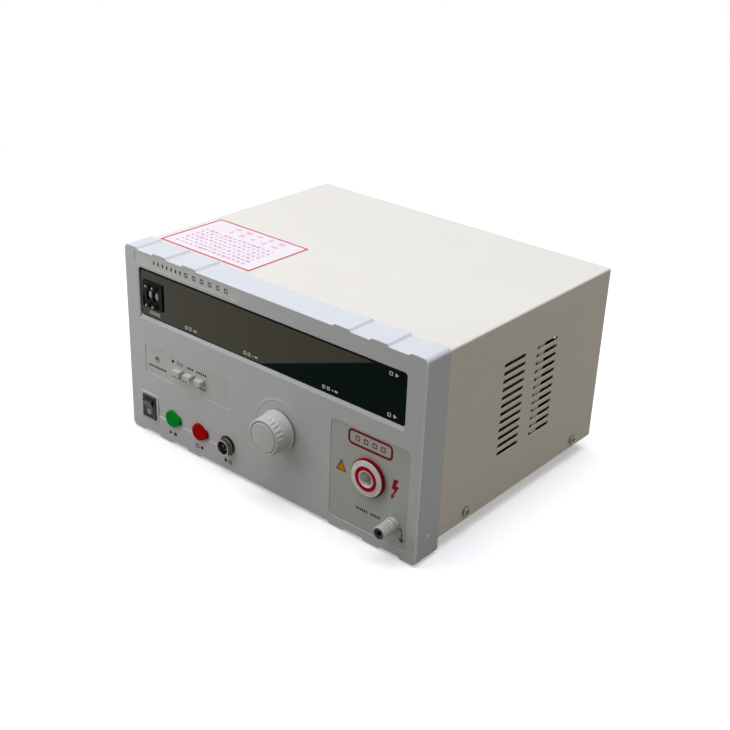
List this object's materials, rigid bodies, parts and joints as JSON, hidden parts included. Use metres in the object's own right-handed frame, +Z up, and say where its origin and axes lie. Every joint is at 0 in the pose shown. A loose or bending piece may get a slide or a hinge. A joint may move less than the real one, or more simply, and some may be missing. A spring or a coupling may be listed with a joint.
{
  "type": "withstand voltage tester",
  "caption": "Bench voltage tester: grey moulded front with display window, switches, regulator knob, high-voltage socket and ground post, in a slotted steel case.",
  "frame": {"origin": "on the surface it stands on, under the middle of the overall box", "axes": "+Z up, the front panel faces -Y, +X to the user's right"},
  "size_m": [0.3224, 0.278, 0.1725],
  "materials": {
    "bezel_plastic": "fine-textured moulded ABS, light grey",
    "legend_film": "satin polyester label film",
    "smoked_acrylic": "polished smoked acrylic",
    "circuit_board": "green glass-epoxy board",
    "display_block": "black display block",
    "lamp_red": "tinted lamp body",
    "black_plastic": "black moulded plastic",
    "wheel_plastic": "dark wheel plastic with white digits",
    "green_plastic": "saturated green plastic",
    "red_plastic": "saturated red plastic",
    "off_white_plastic": "off-white moulded plastic",
    "plated_steel": "zinc-plated sheet steel",
    "nickel": "nickel-plated brass",
    "brass": "plain brass",
    "bright_steel": "bright turned steel",
    "winding_copper": "enamelled copper winding",
    "cast_base": "painted cast bracket",
    "white_insulator": "white moulded insulator",
    "red_rubber": "dark red gasket",
    "lead_silicone": "red silicone lead sleeve",
    "light_grey_plastic": "light grey moulded plastic",
    "cover_paint": "warm light-grey powder coat",
    "foot_rubber": "moulded rubber",
    "label_paper": "coated paper label with a red border",
    "lamination": "varnished laminated steel",
    "coil_tape": "varnished coil wrap",
    "relay_blue": "relay case",
    "capacitor_sleeve": "capacitor sleeve",
    "trimmer_blue": "trimmer case"
  },
  "bodies": {
    "chassis": {"front_bezel": "bezel_plastic", "panel_films": "legend_film", "display_window": "smoked_acrylic", "display_board": "circuit_board", "digit_displays": "display_block", "indicator_lamps": "lamp_red", "preset_housing": "black_plastic", "power_switch_body": "black_plastic", "button_switches": "black_plastic", "key_switch_bank": "plated_steel", "panel_board": "circuit_board", "trimmer_body": "trimmer_blue", "remote_socket_shell": "nickel", "remote_socket_insert": "black_plastic", "remote_socket_pins": "brass", "regulator_winding": "winding_copper", "regulator_base": "cast_base", "hv_socket_body": "white_insulator", "hv_socket_gasket": "red_rubber", "hv_socket_ring": "red_plastic", "hv_socket_contact": "brass", "hv_lead": "lead_silicone", "ground_post_stud": "nickel", "ground_post_collar": "light_grey_plastic", "panel_nuts": "nickel", "cover": "cover_paint", "cover_screws": "nickel", "base_pan": "plated_steel", "rear_panel": "cover_paint", "feet": "foot_rubber", "chassis_screws": "nickel", "top_label": "label_paper", "transformer_core": "lamination", "transformer_coil": "coil_tape", "terminal_strip": "light_grey_plastic", "control_board": "circuit_board", "relays": "relay_blue", "capacitors": "capacitor_sleeve", "mains_inlet": "black_plastic", "inlet_pins": "nickel", "earth_terminal": "brass"},
    "wheel_tens": {"preset_wheel_tens": "wheel_plastic"},
    "wheel_units": {"preset_wheel_units": "wheel_plastic"},
    "push_plus_tens": {"preset_plus_tens": "black_plastic"},
    "push_minus_tens": {"preset_minus_tens": "black_plastic"},
    "push_plus_units": {"preset_plus_units": "black_plastic"},
    "push_minus_units": {"preset_minus_units": "black_plastic"},
    "rocker": {"power_rocker": "black_plastic"},
    "start": {"start_button": "green_plastic"},
    "reset": {"reset_button": "red_plastic"},
    "left_key": {"key_left": "off_white_plastic"},
    "middle_key": {"key_middle": "off_white_plastic"},
    "right_key": {"key_right": "off_white_plastic"},
    "trimmer": {"trimmer_screw": "brass"},
    "regulator_rotor": {"voltage_knob": "off_white_plastic", "regulator_shaft": "bright_steel", "regulator_brush_arm": "brass"},
    "post_bush": {"ground_post_bush": "black_plastic"},
    "post_cap": {"ground_post_cap": "light_grey_plastic"},
    "drawer": {"fuse_drawer": "black_plastic"}
  },
  "joints": [
    {"name": "wheel_tens_turn", "type": "hinge", "parent": "chassis", "child": "wheel_tens", "pos_m": [-0.131, -0.1114, 0.1337], "axis": [1, 0, 0], "continuous": true},
    {"name": "wheel_units_turn", "type": "hinge", "parent": "chassis", "child": "wheel_units", "pos_m": [-0.123, -0.1114, 0.1337], "axis": [1, 0, 0], "continuous": true},
    {"name": "plus_tens_press", "type": "slide", "parent": "chassis", "child": "push_plus_tens", "axis": [0, 1, 0], "range_m": [0, 0.0018], "stiffness_N_per_m": 150},
    {"name": "minus_tens_press", "type": "slide", "parent": "chassis", "child": "push_minus_tens", "axis": [0, 1, 0], "range_m": [0, 0.0018], "stiffness_N_per_m": 150},
    {"name": "plus_units_press", "type": "slide", "parent": "chassis", "child": "push_plus_units", "axis": [0, 1, 0], "range_m": [0, 0.0018], "stiffness_N_per_m": 150},
    {"name": "minus_units_press", "type": "slide", "parent": "chassis", "child": "push_minus_units", "axis": [0, 1, 0], "range_m": [0, 0.0018], "stiffness_N_per_m": 150},
    {"name": "rocker_rock", "type": "hinge", "parent": "chassis", "child": "rocker", "pos_m": [-0.136, -0.1196, 0.0268], "axis": [1, 0, 0], "range_deg": [-24, 0]},
    {"name": "start_press", "type": "slide", "parent": "chassis", "child": "start", "axis": [0, 1, 0], "range_m": [0, 0.0015], "stiffness_N_per_m": 400},
    {"name": "reset_press", "type": "slide", "parent": "chassis", "child": "reset", "axis": [0, 1, 0], "range_m": [0, 0.0015], "stiffness_N_per_m": 400},
    {"name": "key_left_press", "type": "slide", "parent": "chassis", "child": "left_key", "axis": [0, 1, 0], "range_m": [0, 0.003], "stiffness_N_per_m": 250},
    {"name": "key_middle_press", "type": "slide", "parent": "chassis", "child": "middle_key", "axis": [0, 1, 0], "range_m": [0, 0.003], "stiffness_N_per_m": 250},
    {"name": "key_right_press", "type": "slide", "parent": "chassis", "child": "right_key", "axis": [0, 1, 0], "range_m": [0, 0.003], "stiffness_N_per_m": 250},
    {"name": "trimmer_turn", "type": "hinge", "parent": "chassis", "child": "trimmer", "pos_m": [-0.1241, -0.115, 0.0764], "axis": [0, 1, 0], "range_deg": [-135, 135]},
    {"name": "knob_turn", "type": "hinge", "parent": "chassis", "child": "regulator_rotor", "pos_m": [0.02, -0.12, 0.064], "axis": [0, 1, 0], "range_deg": [0, 320]},
    {"name": "post_rise", "type": "slide", "parent": "chassis", "child": "post_bush", "axis": [0, -1, 0], "range_m": [0, 0.003]},
    {"name": "post_turn", "type": "hinge", "parent": "post_bush", "child": "post_cap", "pos_m": [0.137, -0.13, 0.0285], "axis": [0, -1, 0], "range_deg": [0, 1080]},
    {"name": "drawer_pull", "type": "slide", "parent": "chassis", "child": "drawer", "axis": [0, 1, 0], "range_m": [0, 0.014]}
  ],
  "couplings": [
    {"joint": "post_turn", "follows": "post_rise", "rad_per_m": 6283.1}
  ]
}
